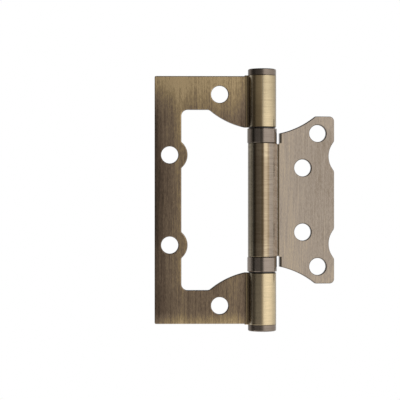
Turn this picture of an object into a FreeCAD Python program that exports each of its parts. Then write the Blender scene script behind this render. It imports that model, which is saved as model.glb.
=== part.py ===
import FreeCAD, Part
import Sketcher
import math
import os

# Non-mortise hinge with two ball bearings, in millimetres.
# The pin's axis is Z and the origin lies on it at mid height.
# The outer leaf lies in the XZ plane towards -X, its screwed-down face towards -Y.
# The inner leaf stands towards +X, a few degrees short of flat, and closes into the outer leaf's window.

doc = FreeCAD.newDocument("hinge")

# Driving sizes
SIZES = {
    # Sheet and barrel
    "sheet": 2.5,
    "pin_dia": 6.35,
    "pin_play": 0.05,
    "root_bend": 2.1,
    "tail_angle": 38,
    "seam_gap": 0.05,
    "knuckle_proud": 0.3,
    "knuckle_round": 0.3,
    "end_knuckle": 20.75,
    "bearing_height": 6.3,
    # Outer leaf
    "leaf_height": 100,
    "leaf_reach": 43.42,
    "leaf_corner": 0.6,
    "edge_round": 0.35,
    "strip_width": 10.8,
    "arm_width": 13.57,
    "window_land": 11.2,
    "arm_blend": 2,
    "window_corner": 2.5,
    "ear_round": 6.7,
    "ear_proud": 2.5,
    "ear_blend": 0.8,
    # Inner leaf, nested in the window with these gaps
    "rest_turn": 6,
    "gap_at_strip": 3.12,
    "gap_at_arm": 2.53,
    "gap_at_shoulder": 2.27,
    "tip_land": 7.75,
    "inner_corner": 1.9,
    "scallop_span": 35.5,
    "scallop_round": 9.0,
    "scallop_depth": 2.25,
    "scallop_blend": 2,
    "relief_round": 0.65,
    "relief_rise": 0.25,
    # Screw holes
    "hole_dia": 6.9,
    "sink_dia": 8.7,
    "arm_hole_reach": 17.2,
    "arm_hole_edge": 7.36,
    "strip_hole_edge": 6.07,
    "strip_hole_span": 36.4,
    "tip_hole_edge": 6.82,
    "tip_hole_end": 6.91,
    "root_hole_reach": 16.5,
    "root_hole_span": 26.0,
    # Pin and caps
    "pin_chamfer": 0.5,
    "cap_dia": 11.4,
    "cap_height": 2.55,
    "cap_crown": 0.15,
    "cap_round": 0.5,
    "stem_length": 4,
    "stem_play": 0.02,
    # Bearings
    "ring_proud": 0.25,
    "ring_wall": 0.6,
    "ring_gap": 0.35,
    "ring_round": 0.35,
    "race_play": 0.08,
    "ball_dia": 1.25,
    "ball_play": 0.02,
    "ball_count": 12,
    "groove_depth": 0.3,
    "cage_thick": 0.5,
    "cage_play": 0.08,
    "pocket_play": 0.06,
}

sheet = doc.addObject("Spreadsheet::Sheet", "Sizes")
for row, (alias, number) in enumerate(SIZES.items(), start=1):
    sheet.set(f"A{row}", alias)
    sheet.set(f"B{row}", str(number))
    sheet.setAlias(f"B{row}", alias)
doc.recompute()


def arc_centre(root_z, far_x, far_z):
    """Height of the centre, over the pin, of the arc from the bend at one height to a farther point."""
    return f"((({far_x})^2 - ({BEND_X})^2 + ({far_z})^2 - ({root_z})^2) / (2 * ({far_z} - {root_z})))"


# Sizes worked out from the driving ones, as formulas on the sheet's cells
BORE_R = "(Sizes.pin_dia / 2 + Sizes.pin_play)"
BARREL_R = f"({BORE_R} + Sizes.sheet)"
HALF_SHEET = "(Sizes.sheet / 2)"
HALF_LEAF = "(Sizes.leaf_height / 2)"
BEND_Y = f"({HALF_SHEET} + Sizes.root_bend)"
BEND_X = f"sqrt(({BARREL_R} + Sizes.root_bend)^2 - {BEND_Y}^2)"
KNUCKLE_TOP = f"({HALF_LEAF} + Sizes.knuckle_proud)"
ARM_END = f"({HALF_LEAF} - Sizes.end_knuckle)"
MIDDLE_TOP = f"({ARM_END} - Sizes.bearing_height)"
WINDOW_X = "(Sizes.leaf_reach - Sizes.strip_width)"
WINDOW_Z = f"({HALF_LEAF} - Sizes.arm_width)"
ARM_START_X = f"({WINDOW_X} - Sizes.window_land)"
ARM_CENTRE_Z = arc_centre(ARM_END, ARM_START_X, WINDOW_Z)
ARM_ARC = f"sqrt(({BEND_X})^2 + ({ARM_CENTRE_Z} - {ARM_END})^2)"
INNER_REACH = f"({WINDOW_X} - Sizes.gap_at_strip)"
INNER_TOP = f"({WINDOW_Z} - Sizes.gap_at_arm)"
SHOULDER_Z = f"({ARM_END} - Sizes.gap_at_shoulder)"
SHOULDER_END_X = f"({INNER_REACH} - Sizes.tip_land)"
SHOULDER_CENTRE_Z = arc_centre(SHOULDER_Z, SHOULDER_END_X, INNER_TOP)
SHOULDER_ARC = f"sqrt(({BEND_X})^2 + ({SHOULDER_CENTRE_Z} - {SHOULDER_Z})^2)"
RING_R = f"({BARREL_R} + Sizes.ring_proud)"
RACE_IN = f"({BORE_R} + Sizes.pin_play)"
RACE_OUT = f"({RING_R} - Sizes.ring_wall - Sizes.race_play)"
PITCH_R = f"(({RACE_IN} + {RACE_OUT}) / 2)"
GROOVE_R = "(Sizes.ball_dia / 2 + Sizes.ball_play)"
RACE_HEIGHT = f"(Sizes.bearing_height / 2 - Sizes.ball_dia / 2 + Sizes.groove_depth)"

TOUCH = 1e-4


def value(formula):
    """The number that a formula on the sheet's cells gives now."""
    return float(sheet.evalExpression(formula))


def new_body(label):
    """A body whose label names its file."""
    body = doc.addObject("PartDesign::Body", label)
    body.Label = label
    return body


def new_sketch(body, role, name):
    """A sketch on one of the body's own origin planes."""
    plane = next(item for item in body.Origin.OriginFeatures if item.Role == role)
    sketch = body.newObject("Sketcher::SketchObject", name)
    sketch.AttachmentSupport = [(plane, "")]
    sketch.MapMode = "FlatFace"
    return sketch


def bind(sketch, kind, places, formula):
    """Add one sized constraint and tie it to its formula."""
    index = sketch.addConstraint(Sketcher.Constraint(kind, *places, value(formula)))
    sketch.setExpression(f"Constraints[{index}]", formula)


def place_point(sketch, shape, end, across, up):
    """Hold a point at its distances from the sketch's origin, on an axis where one is zero."""
    for kind, axis, formula in (("DistanceX", -2, across), ("DistanceY", -1, up)):
        if formula == "0":
            sketch.addConstraint(Sketcher.Constraint("PointOnObject", shape, end, axis))
        else:
            bind(sketch, kind, (-1, 1, shape, end), formula)


def outline(sketch, corners, arcs=None):
    """Draw a closed outline.

    Each corner is a pair of formulas. The side that leaves corner i is straight, or an arc where
    arcs has i: its turning way (1 to the left, -1 to the right), its radius and its centre.
    """
    arcs = arcs or {}
    points = [FreeCAD.Vector(value(across), value(up), 0) for across, up in corners]
    sides = []
    for i, start in enumerate(points):
        finish = points[(i + 1) % len(points)]
        if i not in arcs:
            sides.append((sketch.addGeometry(Part.LineSegment(start, finish)), 1, 2))
            continue
        turn, radius, centre = arcs[i]
        middle = FreeCAD.Vector(value(centre[0]), value(centre[1]), 0)
        first, last = (start, finish) if turn > 0 else (finish, start)
        begin = math.atan2(first.y - middle.y, first.x - middle.x)
        stop = math.atan2(last.y - middle.y, last.x - middle.x)
        if stop < begin:
            stop += 2 * math.pi
        circle = Part.Circle(middle, FreeCAD.Vector(0, 0, 1), value(radius))
        shape = sketch.addGeometry(Part.ArcOfCircle(circle, begin, stop))
        sides.append((shape, 1, 2) if turn > 0 else (shape, 2, 1))
    for i, (shape, head, tail) in enumerate(sides):
        following, next_head, _ = sides[(i + 1) % len(sides)]
        sketch.addConstraint(Sketcher.Constraint("Coincident", shape, tail, following, next_head))
    for i, (shape, head, _) in enumerate(sides):
        place_point(sketch, shape, head, *corners[i])
        if i in arcs:
            bind(sketch, "Radius", (shape,), arcs[i][1])


def circles(sketch, centres, radius):
    """Draw equal circles at pairs of formulas."""
    for across, up in centres:
        middle = FreeCAD.Vector(value(across), value(up), 0)
        circle = Part.Circle(middle, FreeCAD.Vector(0, 0, 1), value(radius))
        shape = sketch.addGeometry(circle)
        place_point(sketch, shape, 3, across, up)
        bind(sketch, "Radius", (shape,), radius)


def feature(body, kind, name, sketch, length=None):
    """A feature on a sketch, as long on both sides of it, or right through where no length is given."""
    made = body.newObject("PartDesign::" + kind, name)
    made.Profile = sketch
    if length:
        made.SideType = "Symmetric"
        made.setExpression("Length", length)
    elif kind == "Pocket":
        made.SideType = "Symmetric"
        made.Type = "ThroughAll"
    sketch.Visibility = False
    doc.recompute()
    return made


def turned(label, half_section, arcs=None):
    """A body turned about Z from its half section in the XZ plane."""
    body = new_body(label)
    sketch = new_sketch(body, "XZ_Plane", label + "_section")
    outline(sketch, half_section, arcs)
    solid = body.newObject("PartDesign::Revolution", label + "_turned")
    solid.Profile = sketch
    solid.ReferenceAxis = (sketch, ["V_Axis"])
    solid.Angle = 360
    doc.recompute()
    return body


def edges(solid, test):
    """Names of the edges that pass a test."""
    return [f"Edge{i}" for i, edge in enumerate(solid.Shape.Edges, start=1) if test(edge)]


def dress(body, kind, name, test, formula):
    """Round or chamfer the tip's edges that pass a test."""
    base = body.Tip
    made = body.newObject("PartDesign::" + kind, name)
    made.Base = (base, edges(base, test))
    made.setExpression("Radius" if kind == "Fillet" else "Size", formula)
    doc.recompute()
    return made


def across_sheet(spots):
    """A test for edges that run through the sheet at one of some spots in X and Z."""
    places = [(value(x), value(z)) for x, z in spots]

    def test(edge):
        if edge.BoundBox.XLength > TOUCH or edge.BoundBox.ZLength > TOUCH:
            return False
        spot = edge.BoundBox.Center
        return any(math.hypot(spot.x - x, spot.z - z) < TOUCH for x, z in places)

    return test


def on_face(side, beyond):
    """A test for edges in one face of the flat sheet, past the bend."""
    level = side * value(HALF_SHEET)
    limit = value(BEND_X) + TOUCH

    def test(edge):
        box = edge.BoundBox
        flat = abs(box.YMin - level) < TOUCH and abs(box.YMax - level) < TOUCH
        return flat and (beyond * box.Center.x > limit)

    return test


def hole_rims(side):
    """A test for the round rims of the screw holes in one face of the flat sheet."""
    level = side * value(HALF_SHEET)
    radius = value("Sizes.hole_dia / 2")

    def test(edge):
        curve = edge.Curve
        if not isinstance(curve, Part.Circle):
            return False
        return abs(curve.Radius - radius) < TOUCH and abs(curve.Center.y - level) < TOUCH

    return test


def knuckle_rims(levels):
    """A test for the outer round edges of a rolled knuckle at some heights."""
    radius = value(BARREL_R)
    heights = [value(level) for level in levels]

    def test(edge):
        curve = edge.Curve
        if not isinstance(curve, Part.Circle) or edge.BoundBox.ZLength > TOUCH:
            return False
        level = edge.BoundBox.ZMin
        on_barrel = abs(curve.Radius - radius) < TOUCH and math.hypot(curve.Center.x, curve.Center.y) < TOUCH
        return on_barrel and any(abs(abs(level) - height) < TOUCH for height in heights)

    return test


def both_ways(across, up):
    """A point above mid height and its mirror below."""
    return [(across, up), (across, f"-{up}")]


def curl(body, side, length):
    """Roll the sheet round the pin.

    The sheet leaves its flat part at the root bend, goes round the pin and comes back to itself.
    Its tail runs straight until its inner corner meets the bend. The side is 1 for a leaf towards
    +X, which rolls over +Y, and -1 for the same roll turned half round.
    """
    reach = f"({BARREL_R} + Sizes.root_bend)"
    bend = (BEND_X, BEND_Y)
    cosine = "cos(Sizes.tail_angle * 1deg)"
    sine = "sin(Sizes.tail_angle * 1deg)"
    along = f"({sine} * {bend[0]} + {cosine} * {bend[1]})"
    beside = f"({BORE_R} * ({cosine} * {bend[0]} - {sine} * {bend[1]}))"
    wall = "(Sizes.root_bend + Sizes.sheet + Sizes.seam_gap)"
    apart = f"({BORE_R}^2 + {reach}^2 - 2 * {beside} - {wall}^2)"
    tail = f"({along} - sqrt({along}^2 - {apart}))"

    def on_circle(radius):
        return f"{radius} * {cosine}", f"-{radius} * {sine}"

    def on_tail(radius):
        return f"({radius} * {cosine} + {tail} * {sine})", f"({tail} * {cosine} - {radius} * {sine})"

    def towards_bend(radius):
        return f"{bend[0]} * {radius} / {reach}", f"{bend[1]} * {radius} / {reach}"

    corners = [
        (bend[0], HALF_SHEET),
        towards_bend(BARREL_R),
        on_circle(BARREL_R),
        on_tail(BARREL_R),
        on_tail(BORE_R),
        on_circle(BORE_R),
        towards_bend(BORE_R),
        (bend[0], f"-{HALF_SHEET}"),
    ]
    arcs = {
        0: (-1, "Sizes.root_bend", bend),
        1: (1, BARREL_R, ("0", "0")),
        5: (-1, BORE_R, ("0", "0")),
        6: (1, "(Sizes.root_bend + Sizes.sheet)", bend),
    }
    if side < 0:
        corners = [(f"-({x})", f"-({y})") for x, y in corners]
        arcs = {i: (way, size, (f"-({x})", f"-({y})")) for i, (way, size, (x, y)) in arcs.items()}
    sketch = new_sketch(body, "XY_Plane", body.Label + "_curl_section")
    outline(sketch, corners, arcs)
    return feature(body, "Pad", body.Label + "_curl", sketch, length)


def outer_leaf():
    """The large leaf: a strip and two arms round a window, with a knuckle on each arm."""
    body = new_body("outer_leaf")

    blank = new_sketch(body, "XZ_Plane", "outer_blank")
    outline(blank, [
        (f"-{BEND_X}", f"-{HALF_LEAF}"),
        (f"-{BEND_X}", HALF_LEAF),
        ("-Sizes.leaf_reach", HALF_LEAF),
        ("-Sizes.leaf_reach", f"-{HALF_LEAF}"),
    ])
    feature(body, "Pad", "outer_sheet", blank, "Sizes.sheet")

    arm_root = (f"-{BEND_X}", ARM_END)
    arm_start = (f"-{ARM_START_X}", WINDOW_Z)
    window_corner = (f"-{WINDOW_X}", WINDOW_Z)

    def below(point):
        return point[0], f"-{point[1]}"

    window = new_sketch(body, "XZ_Plane", "outer_window")
    outline(window, [
        arm_root,
        arm_start,
        window_corner,
        below(window_corner),
        below(arm_start),
        below(arm_root),
    ], {
        0: (-1, ARM_ARC, ("0", ARM_CENTRE_Z)),
        4: (-1, ARM_ARC, ("0", f"-{ARM_CENTRE_Z}")),
    })
    feature(body, "Pocket", "outer_window_cut", window)

    dress(body, "Fillet", "window_corners", across_sheet(both_ways(*window_corner)), "Sizes.window_corner")
    dress(body, "Fillet", "arm_blends", across_sheet(both_ways(*arm_start)), "Sizes.arm_blend")
    far_corner = ("-Sizes.leaf_reach", HALF_LEAF)
    dress(body, "Fillet", "leaf_corners", across_sheet(both_ways(*far_corner)), "Sizes.leaf_corner")

    half_ear = "sqrt(Sizes.ear_round^2 - (Sizes.ear_round - Sizes.ear_proud)^2)"
    ear_centre = f"-({WINDOW_X} - Sizes.ear_proud + Sizes.ear_round)"
    ear_roots = []
    for place, middle in (("upper", "Sizes.strip_hole_span / 2"), ("lower", "-Sizes.strip_hole_span / 2")):
        roots = [(f"-{WINDOW_X}", f"({middle} + {half_ear})"), (f"-{WINDOW_X}", f"({middle} - {half_ear})")]
        ear = new_sketch(body, "XZ_Plane", place + "_ear")
        outline(ear, roots, {1: (1, "Sizes.ear_round", (ear_centre, middle))})
        feature(body, "Pad", place + "_ear_boss", ear, "Sizes.sheet")
        ear_roots.extend(roots)
    dress(body, "Fillet", "ear_blends", across_sheet(ear_roots), "Sizes.ear_blend")

    holes = new_sketch(body, "XZ_Plane", "outer_holes")
    on_arms = both_ways("-Sizes.arm_hole_reach", f"({HALF_LEAF} - Sizes.arm_hole_edge)")
    strip_hole_x = "-(Sizes.leaf_reach - Sizes.strip_hole_edge)"
    on_strip = both_ways(strip_hole_x, "(Sizes.strip_hole_span / 2)")
    circles(holes, on_arms + on_strip, "Sizes.hole_dia / 2")
    feature(body, "Pocket", "outer_screw_holes", holes)
    dress(body, "Chamfer", "outer_sinks", hole_rims(1), "(Sizes.sink_dia - Sizes.hole_dia) / 2")
    dress(body, "Fillet", "outer_edges", on_face(-1, -1), "Sizes.edge_round")

    curl(body, -1, f"2 * {KNUCKLE_TOP}")
    clear = new_sketch(body, "XZ_Plane", "outer_middle")
    beyond = f"({BARREL_R} + Sizes.sheet)"
    outline(clear, [
        (f"-{BEND_X}", f"-{ARM_END}"),
        (beyond, f"-{ARM_END}"),
        (beyond, ARM_END),
        (f"-{BEND_X}", ARM_END),
    ])
    feature(body, "Pocket", "outer_middle_cut", clear)
    dress(body, "Fillet", "outer_knuckle_rims", knuckle_rims([KNUCKLE_TOP, ARM_END]), "Sizes.knuckle_round")
    return body


def inner_leaf():
    """The small leaf: the window's outline with a gap all round, and the middle knuckle."""
    body = new_body("inner_leaf")

    blank = new_sketch(body, "XZ_Plane", "inner_blank")
    shoulder = (BEND_X, SHOULDER_Z)
    shoulder_end = (SHOULDER_END_X, INNER_TOP)
    tip = (INNER_REACH, INNER_TOP)

    def below(point):
        return point[0], f"-{point[1]}"

    outline(blank, [
        below(shoulder),
        below(shoulder_end),
        below(tip),
        tip,
        shoulder_end,
        shoulder,
    ], {
        0: (-1, SHOULDER_ARC, ("0", f"-{SHOULDER_CENTRE_Z}")),
        4: (-1, SHOULDER_ARC, ("0", SHOULDER_CENTRE_Z)),
    })
    feature(body, "Pad", "inner_sheet", blank, "Sizes.sheet")

    scallops = new_sketch(body, "XZ_Plane", "inner_scallops")
    scallop_x = f"({INNER_REACH} - Sizes.scallop_depth + Sizes.scallop_round)"
    circles(scallops, both_ways(scallop_x, "(Sizes.scallop_span / 2)"), "Sizes.scallop_round")
    feature(body, "Pocket", "inner_scallop_cut", scallops)
    reach = "sqrt(Sizes.scallop_round^2 - (Sizes.scallop_round - Sizes.scallop_depth)^2)"
    high = both_ways(INNER_REACH, f"(Sizes.scallop_span / 2 + {reach})")
    low = both_ways(INNER_REACH, f"(Sizes.scallop_span / 2 - {reach})")
    dress(body, "Fillet", "scallop_blends", across_sheet(high + low), "Sizes.scallop_blend")
    dress(body, "Fillet", "inner_corners", across_sheet(both_ways(*tip)), "Sizes.inner_corner")
    bend_corner = both_ways(*shoulder_end)
    dress(body, "Fillet", "shoulder_corners", across_sheet(bend_corner), "Sizes.leaf_corner")

    holes = new_sketch(body, "XZ_Plane", "inner_holes")
    at_tip = both_ways(f"({INNER_REACH} - Sizes.tip_hole_edge)", f"({INNER_TOP} - Sizes.tip_hole_end)")
    at_root = both_ways("Sizes.root_hole_reach", "(Sizes.root_hole_span / 2)")
    circles(holes, at_tip + at_root, "Sizes.hole_dia / 2")
    feature(body, "Pocket", "inner_screw_holes", holes)
    dress(body, "Chamfer", "inner_sinks", hole_rims(1), "(Sizes.sink_dia - Sizes.hole_dia) / 2")
    dress(body, "Fillet", "inner_edges", on_face(-1, 1), "Sizes.edge_round")

    curl(body, 1, f"2 * {MIDDLE_TOP}")
    dress(body, "Fillet", "inner_knuckle_rims", knuckle_rims([MIDDLE_TOP]), "Sizes.knuckle_round")
    reliefs = new_sketch(body, "XZ_Plane", "inner_reliefs")
    relief_x = f"({BEND_X} - Sizes.relief_round)"
    relief_z = f"({MIDDLE_TOP} + Sizes.relief_rise)"
    circles(reliefs, both_ways(relief_x, relief_z), "Sizes.relief_round")
    feature(body, "Pocket", "inner_relief_cut", reliefs)

    turn = FreeCAD.Rotation(FreeCAD.Vector(0, 0, 1), value("Sizes.rest_turn"))
    body.Placement = FreeCAD.Placement(FreeCAD.Vector(0, 0, 0), turn)
    body.setExpression("Placement.Rotation.Angle", "Sizes.rest_turn * 1deg")
    return body


def hinge_pin():
    """The pin, which ends where the caps' stems begin."""
    body = new_body("hinge_pin")
    sketch = new_sketch(body, "XY_Plane", "pin_section")
    circles(sketch, [("0", "0")], "Sizes.pin_dia / 2")
    feature(body, "Pad", "pin_rod", sketch, f"2 * ({KNUCKLE_TOP} - Sizes.stem_length)")
    dress(body, "Chamfer", "pin_ends", lambda edge: isinstance(edge.Curve, Part.Circle), "Sizes.pin_chamfer")
    return body


def cap(label, flipped):
    """A button cap: a crowned disc on a stem that is pressed into the knuckle."""
    stem = f"({BORE_R} - Sizes.stem_play)"
    rim = "(Sizes.cap_dia / 2)"
    shoulder = f"({rim} - Sizes.cap_round)"
    low = "(Sizes.cap_height - Sizes.cap_round)"
    crown = f"({shoulder}^2 + Sizes.cap_crown^2) / (2 * Sizes.cap_crown)"
    top = "(Sizes.cap_height + Sizes.cap_crown)"
    body = turned(label, [
        ("0", "-Sizes.stem_length"),
        (stem, "-Sizes.stem_length"),
        (stem, "0"),
        (rim, "0"),
        (rim, low),
        (shoulder, "Sizes.cap_height"),
        ("0", top),
    ], {
        4: (1, "Sizes.cap_round", (shoulder, low)),
        5: (1, crown, ("0", f"({top} - {crown})")),
    })
    stand(body, KNUCKLE_TOP, flipped)
    return body


def stand(piece, height, below, face_down=None):
    """Set a piece on the pin's axis at a height, or as far below, where it lies face down."""
    half_turn = 180 if (below if face_down is None else face_down) else 0
    spin = FreeCAD.Rotation(FreeCAD.Vector(1, 0, 0), half_turn)
    piece.Placement = FreeCAD.Placement(FreeCAD.Vector(0, 0, 0), spin)
    piece.setExpression("Placement.Base.z", f"-{height}" if below else height)


def sleeve(label, flipped):
    """The visible ring round a bearing, which stands on the middle knuckle."""
    inside = f"({RING_R} - Sizes.ring_wall)"
    height = f"(Sizes.bearing_height - Sizes.ring_gap)"
    body = turned(label, [(inside, "0"), (RING_R, "0"), (RING_R, height), (inside, height)])
    radius = value(RING_R)

    def rim(edge):
        return isinstance(edge.Curve, Part.Circle) and abs(edge.Curve.Radius - radius) < TOUCH

    dress(body, "Fillet", label + "_rims", rim, "Sizes.ring_round")
    stand(body, MIDDLE_TOP, flipped)
    return body


def race(label, on_middle, flipped):
    """A grooved race: the one on the middle knuckle faces out, the other faces back to it."""
    half = f"(Sizes.bearing_height / 2)"
    width = f"sqrt({GROOVE_R}^2 - ({half} - {RACE_HEIGHT})^2)"
    body = turned(label, [
        (RACE_IN, "0"),
        (RACE_OUT, "0"),
        (RACE_OUT, RACE_HEIGHT),
        (f"({PITCH_R} + {width})", RACE_HEIGHT),
        (f"({PITCH_R} - {width})", RACE_HEIGHT),
        (RACE_IN, RACE_HEIGHT),
    ], {3: (-1, GROOVE_R, (PITCH_R, half))})
    if on_middle:
        stand(body, MIDDLE_TOP, flipped)
    else:
        stand(body, ARM_END, flipped, face_down=not flipped)
    return body


def cage(label, flipped):
    """A flat ring that keeps the balls apart."""
    half = f"(Sizes.bearing_height / 2)"
    low = f"({half} - Sizes.cage_thick / 2)"
    high = f"({half} + Sizes.cage_thick / 2)"
    inner = f"({RACE_IN} + Sizes.cage_play)"
    outer = f"({RACE_OUT} - Sizes.cage_play)"
    body = turned(label, [(inner, low), (outer, low), (outer, high), (inner, high)])
    ring = body.Tip
    sketch = new_sketch(body, "XY_Plane", label + "_pocket")
    circles(sketch, [(PITCH_R, "0")], "(Sizes.ball_dia / 2 + Sizes.pocket_play)")
    pocket = feature(body, "Pocket", label + "_pocket_cut", sketch)
    pattern = body.newObject("PartDesign::PolarPattern", label + "_pockets")
    pattern.Originals = [pocket]
    pattern.Axis = (sketch, ["N_Axis"])
    pattern.Angle = 360
    pattern.setExpression("Occurrences", "Sizes.ball_count")
    body.Tip = pattern
    doc.recompute()
    if body.Shape.Volume >= ring.Shape.Volume:
        raise RuntimeError(f"{label}: its pockets cut nothing")
    stand(body, MIDDLE_TOP, flipped)
    return body


def balls(label, flipped):
    """The balls of one bearing, as separate solids of one piece."""
    level = f"({MIDDLE_TOP} + Sizes.bearing_height / 2)"
    spheres = []
    for number in range(round(value("Sizes.ball_count"))):
        ball = doc.addObject("Part::Sphere", f"{label}_{number + 1}")
        ball.setExpression("Radius", "Sizes.ball_dia / 2")
        turn = f"{number} * 360deg / Sizes.ball_count"
        ball.setExpression("Placement.Base.x", f"{PITCH_R} * cos({turn})")
        ball.setExpression("Placement.Base.y", f"{PITCH_R} * sin({turn})")
        ball.setExpression("Placement.Base.z", f"-{level}" if flipped else level)
        spheres.append(ball)
    group = doc.addObject("Part::Compound", label)
    group.Label = label
    group.Links = spheres
    return group


parts = [outer_leaf(), inner_leaf(), hinge_pin(), cap("top_cap", False), cap("bottom_cap", True)]
for place, flipped in (("upper", False), ("lower", True)):
    parts.append(sleeve(f"{place}_sleeve", flipped))
    parts.append(race(f"{place}_middle_race", True, flipped))
    parts.append(race(f"{place}_end_race", False, flipped))
    parts.append(cage(f"{place}_cage", flipped))
    parts.append(balls(f"{place}_balls", flipped))
doc.recompute()

for item in doc.Objects:
    if "Invalid" in item.State or "Error" in item.State:
        raise RuntimeError(f"{item.Label} failed: {item.State}")
for piece in parts:
    if piece.Shape.isNull() or not piece.Shape.isValid():
        raise RuntimeError(f"{piece.Label} has no valid shape")

os.makedirs("parts", exist_ok=True)
for piece in parts:
    piece.Shape.exportStep(f"parts/{piece.Label}.step")
    print(piece.Label, len(piece.Shape.Solids), round(piece.Shape.Volume, 2))
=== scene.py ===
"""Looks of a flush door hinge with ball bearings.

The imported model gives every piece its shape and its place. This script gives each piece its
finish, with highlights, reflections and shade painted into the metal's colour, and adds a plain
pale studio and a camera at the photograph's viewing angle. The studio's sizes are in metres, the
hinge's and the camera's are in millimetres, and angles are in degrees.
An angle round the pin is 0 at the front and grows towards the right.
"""
import logging
import math
from dataclasses import dataclass
from enum import Enum
from typing import Any, Callable

import bpy
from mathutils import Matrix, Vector

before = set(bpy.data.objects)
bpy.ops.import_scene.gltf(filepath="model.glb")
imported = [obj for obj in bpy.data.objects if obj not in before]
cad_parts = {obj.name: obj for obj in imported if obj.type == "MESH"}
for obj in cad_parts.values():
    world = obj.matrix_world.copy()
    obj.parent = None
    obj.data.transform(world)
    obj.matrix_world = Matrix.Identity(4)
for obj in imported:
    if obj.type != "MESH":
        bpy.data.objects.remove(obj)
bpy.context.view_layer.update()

log = logging.getLogger("hinge")

Colour = tuple[float, float, float]
# Where a change starts and ends.
Reach = tuple[float, float]
# Where a band starts, is full, starts to fade and is gone.
Band = tuple[float, float, float, float]
# Pairs of a place and the value there.
Stops = tuple[tuple[float, float], ...]

MM = 0.001
WHITE = (1.0, 1.0, 1.0, 1.0)
NOISE_MIDDLE = 0.5
NOISE_DETAIL = 2.0
# A Mix node's sockets for the first colour, the second and the mixed one.
MIX_FIRST, MIX_SECOND, MIX_RESULT = 6, 7, 2


class Grain(Enum):
    """How the metal was worked, which says the way that its fine lines run."""

    BRUSHED = "along the leaf"
    TURNED = "round the pin"
    POLISHED = "no lines"


class Amount:
    """A number that varies over a surface, with Python's operators as Math nodes."""

    def __init__(self, tree: "Tree", socket: bpy.types.NodeSocket) -> None:
        """Wrap a socket of a material's tree."""
        self.tree = tree
        self.socket = socket

    def _with(self, operation: str, *others: Any, first: Any = None) -> "Amount":
        """Add one Math node.

        Args:
            operation: the Math node's operation.
            others: the amounts or numbers that follow.
            first: what stands first, where it isn't this amount.

        Returns:
            The node's result.
        """
        terms = (self, *others) if first is None else (first, self)
        made = self.tree.node("ShaderNodeMath", {"operation": operation}, dict(enumerate(terms)))
        return Amount(self.tree, made.outputs[0])

    def __add__(self, other: Any) -> "Amount":
        """This amount and another."""
        return self._with("ADD", other)

    __radd__ = __add__

    def __sub__(self, other: Any) -> "Amount":
        """This amount less another."""
        return self._with("SUBTRACT", other)

    def __rsub__(self, other: Any) -> "Amount":
        """Another amount less this one."""
        return self._with("SUBTRACT", first=other)

    def __mul__(self, other: Any) -> "Amount":
        """This amount times another."""
        return self._with("MULTIPLY", other)

    __rmul__ = __mul__

    def __truediv__(self, other: Any) -> "Amount":
        """This amount over another."""
        return self._with("DIVIDE", other)

    def __pow__(self, other: Any) -> "Amount":
        """This amount to a power."""
        return self._with("POWER", other)

    def __abs__(self) -> "Amount":
        """This amount without its sign."""
        return self._with("ABSOLUTE")

    def __neg__(self) -> "Amount":
        """This amount with its sign changed."""
        return self * -1.0

    def turn_to(self, other: "Amount") -> "Amount":
        """The angle whose sine is along this amount and whose cosine is along the other."""
        return self._with("ARCTAN2", other) * math.degrees(1.0)

    def clamped(self) -> "Amount":
        """This amount held between 0 and 1."""
        return self._with("MAXIMUM", 0.0)._with("MINIMUM", 1.0)

    def step(self, start: float, end: float) -> "Amount":
        """A smooth rise from 0 to 1.

        Args:
            start: the value at which the rise starts.
            end: the value at which it ends, which may be the smaller one.

        Returns:
            The risen amount.
        """
        share = ((self - start) / (end - start)).clamped()
        return share * share * (3.0 - 2.0 * share)

    def scaled(self, where: "Amount", times: float) -> "Amount":
        """This amount, multiplied where the mask is 1 and kept where it is 0."""
        return self * (where * (times - 1.0) + 1.0)

    def towards(self, other: "Amount | float", share: "Amount | float") -> "Amount":
        """This amount, moved towards another by a share."""
        return self + (other - self) * share


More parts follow.
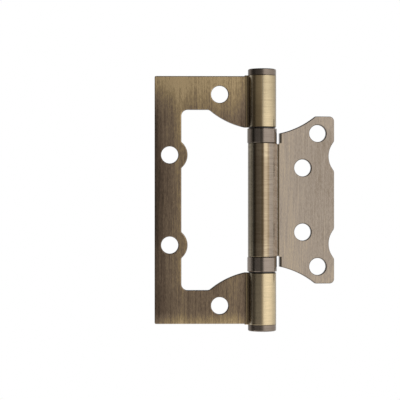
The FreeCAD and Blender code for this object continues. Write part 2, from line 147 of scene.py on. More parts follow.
class Tree:
    """The node tree of one material or of the world."""

    def __init__(self, owner: Any) -> None:
        """Empty the owner's tree, ready for new nodes.

        Args:
            owner: the material or the world that the tree belongs to.
        """
        owner.use_nodes = True
        self.nodes = owner.node_tree.nodes
        self.links = owner.node_tree.links
        self.nodes.clear()

    def node(
        self, kind: str, settings: dict | None = None, inputs: dict | None = None
    ) -> bpy.types.Node:
        """Add a node of any kind.

        Args:
            kind: the node's type.
            settings: its own settings, set before its sockets; a ramp's stops are one of them.
            inputs: a value, amount, socket or node for each socket, by name or number.

        Returns:
            The new node.
        """
        made = self.nodes.new(kind)
        for name, setting in (settings or {}).items():
            if name == "stops":
                self._set_stops(made.color_ramp, setting)
            else:
                setattr(made, name, setting)
        for name, given in (inputs or {}).items():
            socket = made.inputs[name]
            if isinstance(given, Amount):
                self.links.new(given.socket, socket)
            elif isinstance(given, bpy.types.NodeSocket):
                self.links.new(given, socket)
            elif isinstance(given, bpy.types.Node):
                self.links.new(given.outputs[0], socket)
            else:
                socket.default_value = given
        return made

    @staticmethod
    def _set_stops(ramp: bpy.types.ColorRamp, stops: tuple[tuple[float, Colour], ...]) -> None:
        """Give a ramp its stops.

        Args:
            ramp: the ramp of a new node.
            stops: pairs of a place and a colour, from the lowest place up.
        """
        while len(ramp.elements) > 1:
            ramp.elements.remove(ramp.elements[-1])
        for index, (place, colour) in enumerate(stops):
            element = ramp.elements[0] if index == 0 else ramp.elements.new(place)
            element.position = place
            element.color = (*colour, 1.0)

    def amount(self, socket: bpy.types.NodeSocket) -> Amount:
        """A socket as an amount."""
        return Amount(self, socket)

    def place(self) -> tuple[Amount, Amount, Amount]:
        """The point's place in the hinge's frame.

        Returns:
            The place along X, Y and Z, in millimetres.
        """
        here = self.node("ShaderNodeTexCoord").outputs["Object"]
        apart = self.node("ShaderNodeSeparateXYZ", inputs={0: here})
        return tuple(self.amount(socket) / MM for socket in apart.outputs)

    def noise(self, where: bpy.types.Node) -> Amount:
        """Noise over a place whose unit is one blob.

        Args:
            where: the node that gives the place.

        Returns:
            An amount about 0.5.
        """
        made = self.node("ShaderNodeTexNoise", inputs={
            "Vector": where, "Scale": 1.0, "Detail": NOISE_DETAIL,
        })
        return self.amount(made.outputs[0])

    def blobs(self, size: tuple[float, float, float], shift: float = 0.0) -> Amount:
        """Noise whose blobs have a given size.

        Args:
            size: the blobs' size along X, Y and Z, in millimetres.
            shift: a shift that gives each use its own pattern.

        Returns:
            An amount about 0.5.
        """
        here = self.node("ShaderNodeTexCoord").outputs["Object"]
        scale = tuple(1.0 / (length * MM) for length in size)
        return self.noise(self.node("ShaderNodeMapping", inputs={
            "Vector": here, "Location": (shift,) * 3, "Scale": scale,
        }))

    def table(self, where: Amount, stops: Stops) -> Amount:
        """A value that changes along a way, such as round the pin or up the leaf.

        Args:
            where: the place along the way, an angle or a height.
            stops: pairs of a place and the value there, with even changes between them.

        Returns:
            The value at the place.
        """
        first, last = stops[0][0], stops[-1][0]
        placed = tuple(((place - first) / (last - first), (value,) * 3) for place, value in stops)
        share = (where - first) / (last - first)
        return self.amount(self.node("ShaderNodeValToRGB", {"stops": placed}, {0: share}).outputs[0])

    def rings(self, width: float, length: float, shift: float = 0.0) -> Amount:
        """Noise in lines that run round the pin, on walls and on faces across it.

        Args:
            width: a line's width, in millimetres.
            length: how far a line lasts, in millimetres.
            shift: a shift that gives each use its own pattern.

        Returns:
            An amount about 0.5.
        """
        across, away, up = self.place()
        radius = (across * across + away * away) ** 0.5
        where = self.node("ShaderNodeCombineXYZ", inputs={
            0: across / length, 1: away / length, 2: (up + radius) / width + shift,
        })
        return self.noise(where)

    def blend(
        self, share: Amount | float, first: bpy.types.NodeSocket, second: bpy.types.NodeSocket
    ) -> bpy.types.NodeSocket:
        """Mix two colours.

        Args:
            share: how much of the second colour there is.
            first: the first colour.
            second: the second colour.

        Returns:
            The mixed colour.
        """
        made = self.node("ShaderNodeMix", {"data_type": "RGBA"}, {
            0: share, MIX_FIRST: first, MIX_SECOND: second,
        })
        return made.outputs[MIX_RESULT]


@dataclass
class Finish:
    """How one piece wears its metal.

    Its tone, where its lines run round the pin, where a warm painted highlight lies and
    where a grey painted reflection lies.
    """

    tone: Amount | float
    curled: Amount | float = 0.0
    # Where a warm painted highlight lies
    sheen: Amount | float = 0.0
    # Where a grey painted reflection lies
    grey_reflection: Amount | float = 0.0


@dataclass(frozen=True)
class Metal:
    """A metal's looks. A tone is the share of red light that it reflects."""

    name: str
    tones: tuple[Colour, ...]
    roughness: float
    grain: Grain = Grain.BRUSHED
    # Colours of a warm painted highlight, by tone
    sheen_tones: tuple[Colour, ...] = ()
    # Colours of a grey painted reflection, by tone
    grey_reflection_tones: tuple[Colour, ...] = ()
    curl_roughness: float = 0.20
    roughness_play: float = 0.06
    # Lines brushed along a leaf, long ones mixed with nicks
    line_width: float = 0.45
    line_length: float = 14.0
    line_tone: float = 0.8
    line_depth: float = 0.004
    bump_strength: float = 0.5
    nick_length: float = 1.3
    nick_share: float = 0.45
    sheet_depth: float = 4.0
    long_shift: float = 3.7
    # Lines turned round the pin, fine ones mixed with coarse, sized by the brushed lines
    turned_tone: float = 0.8
    fine_width: float = 0.8
    fine_length: float = 1 / 3
    fine_share: float = 0.7
    coarse_width: float = 2.2
    coarse_shift: float = 5.2
    # Soft clouds
    cloud_width: float = 1.6
    cloud_length: float = 40.0
    cloud_tone: float = 0.22
    cloud_shift: float = 3.1

    def lines(self, tree: Tree, curled: Amount | float) -> Amount:
        """The fine lines, brushed along a leaf or turned round the pin.

        Args:
            tree: the material's tree.
            curled: where the lines of a brushed metal run round the pin.

        Returns:
            A share of the tone, about 0.
        """
        width, length = self.line_width, self.line_length
        if self.grain is Grain.POLISHED:
            return (tree.blobs((width, width, width)) - NOISE_MIDDLE) * self.line_tone
        fine = tree.rings(width * self.fine_width, length * self.fine_length)
        coarse = tree.rings(width * self.coarse_width, length, self.coarse_shift)
        turned = fine * self.fine_share + coarse * (1.0 - self.fine_share) - NOISE_MIDDLE
        turned = turned * self.turned_tone
        if self.grain is Grain.TURNED:
            return turned
        nicks = tree.blobs((width, self.sheet_depth, self.nick_length))
        long = tree.blobs((width, self.sheet_depth, length), self.long_shift)
        brushed = nicks * self.nick_share + long * (1.0 - self.nick_share) - NOISE_MIDDLE
        return (brushed * self.line_tone).towards(turned, curled)

    @staticmethod
    def colour(tree: Tree, tones: tuple[Colour, ...], share: Amount) -> bpy.types.NodeSocket:
        """The colour of each tone, by the share of red light that it reflects."""
        stops = tuple((tone[0], tone) for tone in tones)
        return tree.node("ShaderNodeValToRGB", {"stops": stops}, {0: share}).outputs[0]

    def material(self, finish: Callable[[Tree], Finish]) -> bpy.types.Material:
        """Make the material.

        Args:
            finish: works out how the piece wears its metal.

        Returns:
            The finished material.
        """
        made = bpy.data.materials.new(self.name)
        tree = Tree(made)
        worn = finish(tree)
        lines = self.lines(tree, worn.curled)
        cloud_size = (self.cloud_width, self.cloud_length, self.cloud_length)
        clouds = tree.blobs(cloud_size, self.cloud_shift) - NOISE_MIDDLE
        share = ((1.0 + lines + clouds * self.cloud_tone) * worn.tone).clamped()
        colour = self.colour(tree, self.tones, share)
        # Painted light: a warm highlight, then a grey reflection, over the metal's own colour
        if self.sheen_tones:
            colour = tree.blend(worn.sheen, colour, self.colour(tree, self.sheen_tones, share))
        if self.grey_reflection_tones:
            colour = tree.blend(worn.grey_reflection, colour, self.colour(tree, self.grey_reflection_tones, share))
        gloss = self.roughness + clouds * self.roughness_play
        gloss = gloss + (self.curl_roughness - self.roughness) * worn.curled
        bump = tree.node("ShaderNodeBump", inputs={
            "Strength": self.bump_strength, "Distance": self.line_depth * MM, "Height": lines,
        })
        surface = tree.node("ShaderNodeBsdfPrincipled", inputs={
            "Base Color": colour, "Metallic": 1.0, "Roughness": gloss, "Normal": bump,
        })
        tree.node("ShaderNodeOutputMaterial", inputs={"Surface": surface})
        return made


OUTER_METAL = Metal(
    "outer_bronze",
    (
        (0.03, 0.022, 0.016), (0.15, 0.105, 0.072), (0.25, 0.18, 0.12), (0.40, 0.29, 0.158),
        (0.58, 0.428, 0.238),
    ),
    sheen_tones=(
        (0.03, 0.022, 0.014), (0.30, 0.235, 0.14), (0.43, 0.35, 0.22), (0.60, 0.475, 0.295),
    ),
    grey_reflection_tones=((0.05, 0.045, 0.037), (0.40, 0.345, 0.255), (0.80, 0.69, 0.51)),
    roughness=0.27, line_tone=2.2, turned_tone=0.6,
)
INNER_METAL = Metal(
    "inner_bronze",
    (
        (0.03, 0.024, 0.018), (0.16, 0.122, 0.085), (0.27, 0.224, 0.182), (0.36, 0.29, 0.21),
        (0.55, 0.47, 0.40), (0.85, 0.79, 0.72),
    ),
    sheen_tones=(
        (0.03, 0.02, 0.01), (0.18, 0.128, 0.07), (0.30, 0.228, 0.152), (0.40, 0.32, 0.21),
        (0.60, 0.48, 0.32),
    ),
    grey_reflection_tones=((0.05, 0.0425, 0.031), (0.40, 0.34, 0.245), (0.80, 0.68, 0.49)),
    roughness=0.27, line_tone=1.2, turned_tone=1.1, cloud_tone=0.15,
)
CAP_METAL = Metal(
    "cap_bronze",
    ((0.03, 0.024, 0.02), (0.15, 0.12, 0.095), (0.24, 0.195, 0.16), (0.36, 0.30, 0.25)),
    roughness=0.22, grain=Grain.TURNED, turned_tone=0.6, cloud_tone=0.15, curl_roughness=0.22,
)
PIN_METAL = Metal(
    "pin_steel",
    ((0.40, 0.40, 0.40), (0.62, 0.62, 0.61)),
    roughness=0.28, grain=Grain.TURNED, line_width=0.2,
)
RACE_METAL = Metal(
    "race_steel",
    ((0.03, 0.026, 0.022), (0.22, 0.21, 0.20)),
    roughness=0.3, grain=Grain.TURNED, line_width=0.15,
)
BALL_METAL = Metal(
    "ball_steel",
    ((0.60, 0.60, 0.60), (0.72, 0.72, 0.71)),
    roughness=0.06, grain=Grain.POLISHED, line_width=0.2, line_tone=0.1, line_depth=0.0005,
)
CAGE_METAL = Metal(
    "cage_brass",
    ((0.55, 0.40, 0.18), (0.78, 0.62, 0.34)),
    roughness=0.30, grain=Grain.POLISHED, line_width=0.3, line_tone=0.4,
)


def even(tone: float) -> Callable[[Tree], Finish]:
    """A finish with one tone all over."""
    return lambda tree: Finish(tone)


def dress(node: str, material: bpy.types.Material) -> None:
    """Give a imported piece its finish.

    Args:
        node: the piece's name.
        material: the finish.
    """
    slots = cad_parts[node].data.materials
    slots.clear()
    slots.append(material)
    log.info("%s: %s", node, material.name)


@dataclass
class Leaf:
    """What both leaves share: a flat sheet with a rolled knuckle. Sizes are in millimetres."""

    node: str
    metal: Metal
    turn: float
    holes: tuple[tuple[float, float], ...]
    # Where the knuckle shows a grey painted reflection, round the pin
    grey_reflection_turn: Band
    half_sheet: float = 1.25
    middle_reach: Reach = (0.0, 1.0)
    front_rim: Reach = (0.01, 0.15)
    back_rim: Reach = (0.01, 0.10)
    # Painted shade on the sheet's rims and cut walls, and in its screw holes
    rim_shade_share: float = 0.2
    hole_rim: Reach = (3.85, 3.50)
    hole_rim_shade_share: float = 0.6

    def local(self, tree: Tree) -> tuple[Amount, Amount, Amount]:
        """The point's place on the leaf, however the leaf is turned.

        Args:
            tree: the material's tree.

        Returns:
            The place along the sheet from the pin, out of its middle plane, and up.
        """
        across, away, up = tree.place()
        angle = math.radians(self.turn)
        along = across * math.cos(angle) + away * math.sin(angle)
        out = away * math.cos(angle) - across * math.sin(angle)
        return along, out, up

    def rims(self, out: Amount) -> Amount:
        """Where the sheet's rounded rims and its cut walls are.

        Args:
            out: the place out of the sheet's middle plane.

        Returns:
            1 there and 0 on both faces.
        """
        front = out.step(*(depth - self.half_sheet for depth in self.front_rim))
        back = out.step(*(self.half_sheet - depth for depth in self.back_rim))
        return front * back

    def hole_rims(self, along: Amount, up: Amount) -> Amount:
        """Where the rims of the screw holes are, above and below the middle, for painted shade.

        Args:
            along: the place along the sheet from the pin.
            up: the place up the leaf.

        Returns:
            1 at the holes and 0 on the rest of the sheet.
        """
        rims = 0.0
        for place, height in self.holes:
            aside, above = abs(along) - place, abs(up) - height
            distance = (aside * aside + above * above) ** 0.5
            rims = distance.step(*self.hole_rim) + rims
        return rims

    def rimmed(self, tone: Amount, along: Amount, out: Amount, up: Amount) -> Amount:
        """The flat sheet's tone, with painted shade on its rims and in its holes."""
        tone = tone.scaled(self.hole_rims(along, up), self.hole_rim_shade_share)
        return tone.scaled(self.rims(out), self.rim_shade_share)

    @staticmethod
    def band(where: Amount, reach: Band) -> Amount:
        """Where a place is in a band that starts, is full, ends and is gone at four places."""
        start, full, last, none = reach
        return where.step(start, full) * where.step(none, last)

    def finish(self, tree: Tree) -> Finish:
        """How the leaf wears its metal, which each leaf says for itself."""
        raise NotImplementedError

    def dress(self) -> None:
        """Give the leaf its finish."""
        dress(self.node, self.metal.material(self.finish))


@dataclass
class OuterLeaf(Leaf):
    """The large leaf, gold at its ends from wear and painted reflection, dark along its far edge."""

    node: str = "outer_leaf"
    metal: Metal = OUTER_METAL
    turn: float = 0.0
    holes: tuple[tuple[float, float], ...] = ((17.2, 42.64), (37.35, 18.2))
    # Strip and arms: tones up and along the leaf, partly its own colour, partly painted reflection
    # and shade
    plain_tone: float = 0.23
    top_tone: float = 0.56
    top_reach: Reach = (30.0, 52.0)
    bottom_tone: float = 0.42
    bottom_reach: Reach = (44.5, 50.5)
    low_shade: float = 0.08
    low_shade_reach: Reach = (30.0, 37.0)
    far_shares: Stops = (
        (-50.0, 0.55), (-40.0, 0.62), (-22.0, 0.56), (-13.0, 0.40), (13.0, 0.40), (24.0, 0.46),
        (50.0, 0.47),
    )
    far_reach: Reach = (43.4, 37.5)
    ends_share: float = 0.85
    low_end_share: float = 0.5
    window_gain: float = 0.34
    window_reach: Band = (37.0, 34.2, 32.5, 29.0)
    strip_reach: Reach = (29.0, 35.0)
    strip_wear_and_reflection_scale: float = 2.0
    # Tone up the strip, partly wear and partly painted reflection
    strip_wear_and_reflection: Stops = (
        (-50.0, 0.45), (-47.0, 0.42), (-40.0, 0.41), (-33.0, 0.49), (-26.0, 0.52), (-12.0, 0.47),
        (10.0, 0.47), (22.0, 0.52), (29.0, 0.57), (34.0, 0.53), (40.0, 0.44), (44.0, 0.47),
        (48.0, 0.57), (50.0, 0.60),
    )
    # Painted shade along the leaf's top edge
    top_edge_shade_reach: Reach = (49.3, 49.8)
    top_edge_shade_share: float = 0.75
    arm_gain: float = 0.11
    arm_reach: Reach = (34.0, 16.0)
    arm_height: Reach = (28.0, 36.0)
    low_arm_gain: float = 0.09
    low_arm_reach: Reach = (18.0, 12.0)
    # Painted shade along the bend into the knuckle, beside the barrel
    bend_shade_share: float = 0.62
    bend_shade_reach: Reach = (11.0, 7.2)
    low_bend_shade_reach: Reach = (9.5, 6.8)
    # End knuckles: highlights, reflections and shade painted round the pin
    knuckle_reach: Reach = (6.7, 6.4)
    knuckle_reflection_tones: Stops = (
        (-180.0, 0.50), (-95.0, 0.60), (-78.0, 0.62), (-75.0, 0.42), (-69.0, 0.30), (-65.0, 0.28),
        (-60.0, 0.75), (-54.0, 0.64), (-46.5, 0.31), (-35.8, 0.62), (-26.3, 0.60), (-9.3, 0.54),
        (-1.2, 0.67), (6.9, 0.48), (15.0, 0.53), (33.0, 0.53), (43.0, 0.49), (55.5, 0.44),
        (64.0, 0.42), (70.0, 0.20), (90.0, 0.30), (180.0, 0.50),
    )
    # Painted shade: the lit side dimmer towards the top, the unlit side darker on the lower part of
    # the top knuckle and on the bottom knuckle
    knuckle_top_lit_share: float = 0.78
    knuckle_top_reach: Reach = (20.0, 48.0)
    lit_turn: Reach = (-6.0, -1.0)
    # Grey painted reflections on the end knuckles' left side, fainter on the bottom knuckle's front
    grey_reflection_turn: Band = (-42.0, -50.0, -62.0, -70.0)
    low_left_shade_share: float = 0.80
    low_grey_reflection_share: float = 0.5
    low_grey_reflection_turn: Band = (-2.0, -8.0, -40.0, -44.0)
    shade_share: float = 0.72
    shade_reach: Reach = (48.0, 33.0)
    # Painted shade on the knuckles' inner ends, beside the bearing rings
    gap_shade_reach: Reach = (29.65, 29.50)
    gap_shade_share: float = 0.20

    def flat_tone(self, tree: Tree, outward: Amount, up: Amount) -> Amount:
        """The strip's and arms' tone: partly their own colour, partly painted reflection and shade.

        Args:
            tree: the material's tree.
            outward: the place along the sheet, away from the pin.
            up: the place up the leaf.

        Returns:
            The share of red light that they reflect.
        """
        top = up.step(*self.top_reach)
        bottom = (-up).step(*self.bottom_reach)
        lower = (-up).step(*self.middle_reach)
        tone = self.plain_tone + top * (self.top_tone - self.plain_tone)
        tone = tone - (-up).step(*self.low_shade_reach) * (self.low_shade * self.plain_tone)
        tone = tone + bottom * (self.bottom_tone - self.plain_tone)
        far = tree.table(up, self.far_shares)
        inward = outward.step(*self.far_reach) * (1.0 - far) + far
        ends = top * self.ends_share + bottom * self.low_end_share
        tone = tone * (inward + (1.0 - inward) * ends)
        tone = tone.scaled(self.band(outward, self.window_reach), 1.0 + self.window_gain)
        wear = tree.table(up, self.strip_wear_and_reflection) * self.strip_wear_and_reflection_scale - 1.0
        tone = tone * (outward.step(*self.strip_reach) * wear + 1.0)
        tone = tone.scaled(up.step(*self.top_edge_shade_reach), self.top_edge_shade_share)
        arms = abs(up).step(*self.arm_height) * outward.step(*self.arm_reach)
        tone = tone.scaled(arms, 1.0 + self.arm_gain)
        tone = tone.scaled(lower * outward.step(*self.low_arm_reach), 1.0 + self.low_arm_gain)
        bend_shade = outward.step(*self.bend_shade_reach).towards(outward.step(*self.low_bend_shade_reach), lower)
        return tone.scaled(bend_shade, self.bend_shade_share)

    def knuckle_tone(self, tree: Tree, angle: Amount, up: Amount, lit: Amount) -> Amount:
        """The tone of the end knuckles, with highlights, reflections and shade painted round the
        pin.

        Args:
            tree: the material's tree.
            angle: the place round the pin.
            up: the place up the leaf.
            lit: where the knuckles' bright side is.

        Returns:
            The share of red light that they reflect.
        """
        unlit = 1.0 - lit
        less = up.step(*self.knuckle_top_reach) * lit * (1.0 - self.knuckle_top_lit_share)
        upper = up.step(*self.middle_reach) * up.step(*self.shade_reach)
        shade = upper * unlit * (1.0 - self.shade_share)
        lower = (-up).step(*self.middle_reach)
        shade = shade + lower * unlit * (1.0 - self.low_left_shade_share)
        tone = tree.table(angle, self.knuckle_reflection_tones) * (1.0 - less - shade)
        return tone.scaled(abs(up).step(*self.gap_shade_reach), self.gap_shade_share)

    def finish(self, tree: Tree) -> Finish:
        """Gold towards the ends and, as a painted highlight, on the knuckles; brown along the strip.

        Args:
            tree: the material's tree.

        Returns:
            How the leaf wears its metal.
        """
        along, out, up = self.local(tree)
        curled = (-along).step(*self.knuckle_reach)
        angle = along.turn_to(-out)
        lit = angle.step(*self.lit_turn)
        tone = self.rimmed(self.flat_tone(tree, -along, up), along, out, up)
        tone = tone.towards(self.knuckle_tone(tree, angle, up, lit), curled)
        low_grey_reflection = (-up).step(*self.middle_reach) * self.band(angle, self.low_grey_reflection_turn)
        grey_reflection = self.band(angle, self.grey_reflection_turn) + low_grey_reflection * self.low_grey_reflection_share
        return Finish(tone, curled, curled * lit, curled * grey_reflection)


@dataclass
class InnerLeaf(Leaf):
    """The small leaf: even taupe, a painted highlight band on its knuckle, painted shade in its
    seam.
    """

    node: str = "inner_leaf"
    metal: Metal = INNER_METAL
    turn: float = 6.0
    holes: tuple[tuple[float, float], ...] = ((22.68, 26.99), (16.5, 13.0))
    # Flat sheet
    plain_tone: float = 0.243
    root_gain: float = 0.045
    root_reach: Reach = (24.0, 8.0)
    low_gain: float = 0.025
    low_reach: Reach = (5.0, -25.0)
    tip_gain: float = 0.035
    tip_height: Reach = (23.0, 31.0)
    tip_reach: Reach = (16.0, 24.0)
    # Middle knuckle: highlights, reflections and shade painted round the pin
    knuckle_reach: Reach = (6.6, 6.3)
    knuckle_reflection_tones: Stops = (
        (-180.0, 0.30), (-93.0, 0.16), (-80.0, 0.17), (-66.0, 0.22), (-53.0, 0.37), (-49.0, 0.35),
        (-42.0, 0.23), (-37.0, 0.19), (-31.0, 0.29), (-24.0, 0.28), (-15.0, 0.29), (-10.0, 0.19),
        (-6.5, 0.17), (-2.5, 0.25), (1.0, 0.35), (9.0, 0.35), (12.0, 0.33), (15.5, 0.25),
        (37.0, 0.27), (43.0, 0.32), (47.0, 0.51), (53.0, 0.59), (60.0, 0.63), (68.0, 0.62),
        (74.0, 0.72), (80.0, 0.74), (85.0, 0.30), (100.0, 0.28), (180.0, 0.30),
    )
    # Where a warm painted highlight lies round the pin
    band_turn: Band = (24.0, 17.0, -85.0, -110.0)
    band_top_highlight: float = 0.08
    band_top_turn: Band = (-4.0, 0.0, 11.0, 16.0)
    band_top_reach: Reach = (12.0, 21.0)
    grey_reflection_turn: Band = (-39.0, -47.0, -80.0, -100.0)
    ends_highlight: float = 0.18
    ends_height: Reach = (15.0, 21.0)
    ends_turn: Reach = (26.0, 18.0)
    # Painted shade in the seam, and on the end faces beside the bearings
    seam_shade_tone: float = 0.12
    seam_shade_reach: Band = (6.15, 6.25, 6.68, 6.88)
    front_reach: Reach = (0.0, -0.5)
    end_height: Reach = (22.9, 23.0)
    end_reach: Reach = (8.0, 7.7)
    end_shade_tone: float = 0.035

    def knuckle_tone(self, tree: Tree, angle: Amount, up: Amount) -> Amount:
        """The tone of the middle knuckle, with highlights and reflections painted round the pin.

        Args:
            tree: the material's tree.
            angle: the place round the pin.
            up: the place up the leaf.

        Returns:
            The share of red light that it reflects.
        """
        band = up.step(*self.band_top_reach) * self.band(angle, self.band_top_turn)
        ends = abs(up).step(*self.ends_height) * angle.step(*self.ends_turn)
        tone = tree.table(angle, self.knuckle_reflection_tones).scaled(ends, 1.0 + self.ends_highlight)
        return tone + band * self.band_top_highlight

    def finish(self, tree: Tree) -> Finish:
        """Taupe, a little lighter near the barrel, towards the lower end and at the tips; painted
        highlights, reflections and shade on the knuckle, in the seam and on the end faces.

        Args:
            tree: the material's tree.

        Returns:
            How the leaf wears its metal.
        """
        along, out, up = self.local(tree)
        tone = self.plain_tone + along.step(*self.root_reach) * self.root_gain
        tone = tone + up.step(*self.low_reach) * self.low_gain
        tips = abs(up).step(*self.tip_height) * along.step(*self.tip_reach)
        tone = self.rimmed(tone + tips * self.tip_gain, along, out, up)
        curled = along.step(*self.knuckle_reach)
        angle = along.turn_to(-out)
        tone = tone.towards(self.knuckle_tone(tree, angle, up), curled)
        seam = self.band(along, self.seam_shade_reach) * out.step(*self.front_reach)
        end = abs(up).step(*self.end_height) * along.step(*self.end_reach)
        tone = tone.towards(self.seam_shade_tone, seam).towards(self.end_shade_tone, end)
        sheen = curled * self.band(angle, self.band_turn) + seam
        return Finish(tone, curled, sheen, curled * self.band(angle, self.grey_reflection_turn))


@dataclass(frozen=True)
class Bearing:
    """One ball bearing and the ring round it."""

    place: str
    # Painted highlights and dark reflections round the pin
    ring_reflection_tones: Stops = (
        (-180.0, 0.24), (-90.0, 0.13), (-70.0, 0.155), (-56.0, 0.20), (-48.0, 0.23), (-43.0, 0.14),
        (-38.0, 0.13), (-34.0, 0.27), (-29.0, 0.28), (-24.0, 0.225), (-12.0, 0.21), (-8.0, 0.11),
        (-3.0, 0.115), (4.0, 0.235), (9.0, 0.22), (41.0, 0.235), (50.0, 0.32), (60.0, 0.41),
        (68.0, 0.13), (90.0, 0.13), (110.0, 0.24), (180.0, 0.24),
    )
    # Painted brightening, which the lower ring gets, more on its left side
    gain: float = 0.0
    left_lit_gain: float = 0.0
    left_reach: Reach = (-37.0, -44.0)
    rim_shade_height: Reach = (23.2, 23.05)
    rim_shade_share: float = 0.4

    def ring_finish(self, tree: Tree) -> Finish:
        """The ring's tone, with reflections painted round the pin and painted shade on the inner
        rim.

        Args:
            tree: the material's tree.

        Returns:
            How the ring wears its metal.
        """
        across, away, up = tree.place()
        angle = across.turn_to(-away)
        tone = tree.table(angle, self.ring_reflection_tones) * (1.0 + self.gain)
        tone = tone.scaled(angle.step(*self.left_reach), 1.0 + self.left_lit_gain)
        return Finish(tone.scaled(abs(up).step(*self.rim_shade_height), self.rim_shade_share))

    def dress(self, inside: dict[str, bpy.types.Material]) -> None:
        """Give the bearing's pieces their finishes.

        Args:
            inside: the finishes of the pieces in the ring, by the last word of the piece's name.
        """
        dress(f"{self.place}_sleeve", CAP_METAL.material(self.ring_finish))
        for kind, material in inside.items():
            dress(f"{self.place}_{kind}", material)


@dataclass(frozen=True)
class Cap:
    """One button cap, on the outer end of an end knuckle."""

    node: str
    tone: float
    share_scale: float = 2.0
    # Painted highlights and reflections round the pin
    shares: Stops = (
        (-180.0, 0.50), (-100.0, 0.24), (-80.0, 0.20), (-60.0, 0.48), (-48.0, 0.22), (-42.0, 0.36),
        (-36.0, 0.68), (-26.0, 0.45), (-12.0, 0.41), (-1.0, 0.48), (30.0, 0.50), (180.0, 0.50),
    )

    def finish(self, tree: Tree) -> Finish:
        """The cap's tone, with highlights and reflections painted round the pin.

        Args:
            tree: the material's tree.

        Returns:
            How the cap wears its metal.
        """
        across, away, _ = tree.place()
        share = tree.table(across.turn_to(-away), self.shares)
        return Finish(share * (self.share_scale * self.tone))

    def dress(self) -> None:
        """Give the cap its finish."""
        dress(self.node, CAP_METAL.material(self.finish))


@dataclass
class Barrel:
    """The pin, its two caps and the bearings between the knuckles."""

    # The bottom cap and the lower ring are painted a little brighter than the top ones
    caps: tuple[Cap, ...] = (Cap("top_cap", 0.19), Cap("bottom_cap", 0.205))
    bearings: tuple[Bearing, ...] = (Bearing("upper"), Bearing("lower", gain=0.08, left_lit_gain=0.6))
    pin_tone: float = 0.55
    race_tone: float = 0.06
    cage_tone: float = 0.7
    ball_tone: float = 0.66

    def dress(self) -> None:
        """Give the pieces on the pin their finishes."""
        dress("hinge_pin", PIN_METAL.material(even(self.pin_tone)))
        for cap in self.caps:
            cap.dress()
        race = RACE_METAL.material(even(self.race_tone))
        inside = {
            "middle_race": race,
            "end_race": race,
            "cage": CAGE_METAL.material(even(self.cage_tone)),
            "balls": BALL_METAL.material(even(self.ball_tone)),
        }
        for bearing in self.bearings:
            bearing.dress(inside)


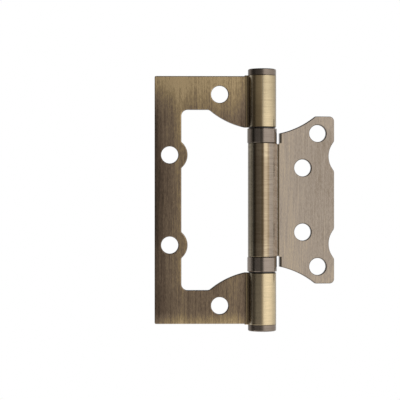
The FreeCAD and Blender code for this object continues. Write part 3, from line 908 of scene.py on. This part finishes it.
@dataclass
class Studio:
    """A pale floor, a ring of soft panels that the metal reflects, and one soft lamp."""

    floor_below: float = 0.25
    floor_reach: float = 1.1
    floor_colour: Colour = (0.86, 0.86, 0.85)
    floor_white: float = 0.6
    wall_reach: float = 1.3
    wall_height: float = 1.6
    wall_sides: int = 96
    panels: Stops = (
        (-180.0, 0.80), (-140.0, 0.75), (-110.0, 0.60), (-94.0, 0.42), (-84.0, 0.14), (-78.0, 0.06),
        (-62.0, 0.06), (-54.0, 0.18), (-35.0, 0.24), (-16.0, 0.28), (-4.0, 0.38), (4.0, 0.50),
        (9.0, 0.95), (14.0, 1.50), (20.0, 1.55), (50.0, 1.50), (90.0, 1.20), (120.0, 1.00),
        (150.0, 1.00), (180.0, 0.80),
    )
    panel_scale: float = 0.5
    ceiling_tone: float = 0.12
    lamp_power: float = 2.0
    lamp_size: float = 0.7
    lamp_place: tuple[float, float, float] = (0.45, -0.7, 0.65)

    def disc(self, name: str, radius: float, height: float) -> bpy.types.Object:
        """Add a flat disc across the pin's axis.

        Args:
            name: the disc's name.
            radius: its radius.
            height: its height over the middle of the hinge.

        Returns:
            The disc.
        """
        bpy.ops.object.select_all(action="DESELECT")
        bpy.ops.mesh.primitive_circle_add(
            vertices=self.wall_sides, radius=radius, fill_type="NGON", location=(0, 0, height)
        )
        made = bpy.context.object
        made.name = name
        return made

    def floor(self) -> None:
        """Lay the floor, which is pale to the camera and keeps the hinge's soft shadow."""
        made = self.disc("floor", self.floor_reach, -self.floor_below)
        material = bpy.data.materials.new("pale_floor")
        tree = Tree(material)
        shaded = tree.node("ShaderNodeBsdfDiffuse", inputs={"Color": (*self.floor_colour, 1.0)})
        white = tree.node("ShaderNodeEmission", inputs={"Color": WHITE, "Strength": 1.0})
        surface = tree.node("ShaderNodeMixShader", inputs={
            0: self.seen(tree) * self.floor_white, 1: shaded, 2: white,
        })
        tree.node("ShaderNodeOutputMaterial", inputs={"Surface": surface})
        made.data.materials.append(material)

    @staticmethod
    def seen(tree: Tree) -> Amount:
        """Whether a ray is one that the camera, metal or glass sees by.

        Args:
            tree: the material's tree.

        Returns:
            1 for such a ray and 0 for any other.
        """
        ray = tree.node("ShaderNodeLightPath")
        kinds = ("Camera", "Glossy", "Transmission")
        camera, glossy, through = (tree.amount(ray.outputs[f"Is {kind} Ray"]) for kind in kinds)
        return (camera + glossy + through).clamped()

    def wall(self) -> None:
        """Stand the ring of panels round the hinge, out of the camera's sight."""
        bpy.ops.object.select_all(action="DESELECT")
        bpy.ops.mesh.primitive_cylinder_add(
            vertices=self.wall_sides, radius=self.wall_reach, depth=self.wall_height,
            end_fill_type="NOTHING",
        )
        made = bpy.context.object
        made.name = "panels"
        made.visible_camera = False
        material = bpy.data.materials.new("soft_panels")
        tree = Tree(material)
        across, away, _ = tree.place()
        stops = tuple((angle, level * self.panel_scale) for angle, level in self.panels)
        level = tree.table(across.turn_to(-away), stops)
        surface = tree.node("ShaderNodeEmission", inputs={
            "Color": level, "Strength": 1.0 / self.panel_scale,
        })
        tree.node("ShaderNodeOutputMaterial", inputs={"Surface": surface})
        made.data.materials.append(material)

    def ceiling(self) -> None:
        """Hang a dark disc over the ring, so that the leaves' upper edges stay dark."""
        made = self.disc("ceiling", self.wall_reach, self.wall_height / 2)
        made.visible_camera = False
        made.visible_diffuse = False
        material = bpy.data.materials.new("dark_cloth")
        tree = Tree(material)
        tone = self.ceiling_tone
        surface = tree.node("ShaderNodeBsdfDiffuse", inputs={"Color": (tone, tone, tone, 1.0)})
        tree.node("ShaderNodeOutputMaterial", inputs={"Surface": surface})
        made.data.materials.append(material)

    def lamp(self) -> None:
        """Hang one large soft lamp above, in front and to the right, turned to the hinge."""
        bpy.ops.object.light_add(type="AREA", location=self.lamp_place)
        made = bpy.context.object
        made.name = "soft_lamp"
        made.data.size = self.lamp_size
        made.data.energy = self.lamp_power
        made.rotation_euler = Vector(self.lamp_place).to_track_quat("Z", "Y").to_euler()

    def world(self) -> None:
        """Give the world a plain white, which is also the even soft light."""
        world = bpy.data.worlds.new("studio")
        bpy.context.scene.world = world
        tree = Tree(world)
        light = tree.node("ShaderNodeBackground", inputs={"Color": WHITE, "Strength": 1.0})
        tree.node("ShaderNodeOutputWorld", inputs={"Surface": light})

    def build(self) -> None:
        """Set up the whole studio."""
        self.floor()
        self.wall()
        self.ceiling()
        self.lamp()
        self.world()
        bpy.context.scene.view_settings.view_transform = "Standard"
        log.info("studio: floor, panels, lamp and world")


@dataclass
class PhotoCamera:
    """The camera that took the photograph, worked out from the picture's scale and middle."""

    picture_size: float = 400.0
    mm_per_pixel: float = 0.4032
    axis_pixel: float = 262.3
    middle_pixel: float = 200.0
    distance: float = 600.0
    turn: float = -1.2
    front_face: float = 1.25
    sensor: float = 36.0
    nearest: float = 10.0

    def build(self) -> None:
        """Place the camera and make it the scene's own."""
        centre = self.picture_size / 2
        across = (centre - self.axis_pixel) * self.mm_per_pixel
        up = (self.middle_pixel - centre) * self.mm_per_pixel
        aim = Vector((across, -self.front_face, up))
        swing = math.radians(self.turn)
        away = Vector((math.sin(swing), -math.cos(swing), 0.0))
        bpy.ops.object.camera_add(location=(aim + away * self.distance) * MM)
        camera = bpy.context.object
        camera.name = "photo_camera"
        camera.rotation_euler = away.to_track_quat("Z", "Y").to_euler()
        camera.data.sensor_width = self.sensor
        camera.data.lens = self.sensor * self.distance / (self.picture_size * self.mm_per_pixel)
        camera.data.clip_start = self.nearest * MM
        bpy.context.scene.camera = camera
        log.info("camera: %.0f mm away", self.distance)


def main() -> None:
    """Dress the hinge from its leaves to its bearings, then set up the studio and the camera."""
    OuterLeaf().dress()
    InnerLeaf().dress()
    Barrel().dress()
    Studio().build()
    PhotoCamera().build()


if __name__ == "__main__":
    logging.basicConfig(level=logging.INFO)
    main()
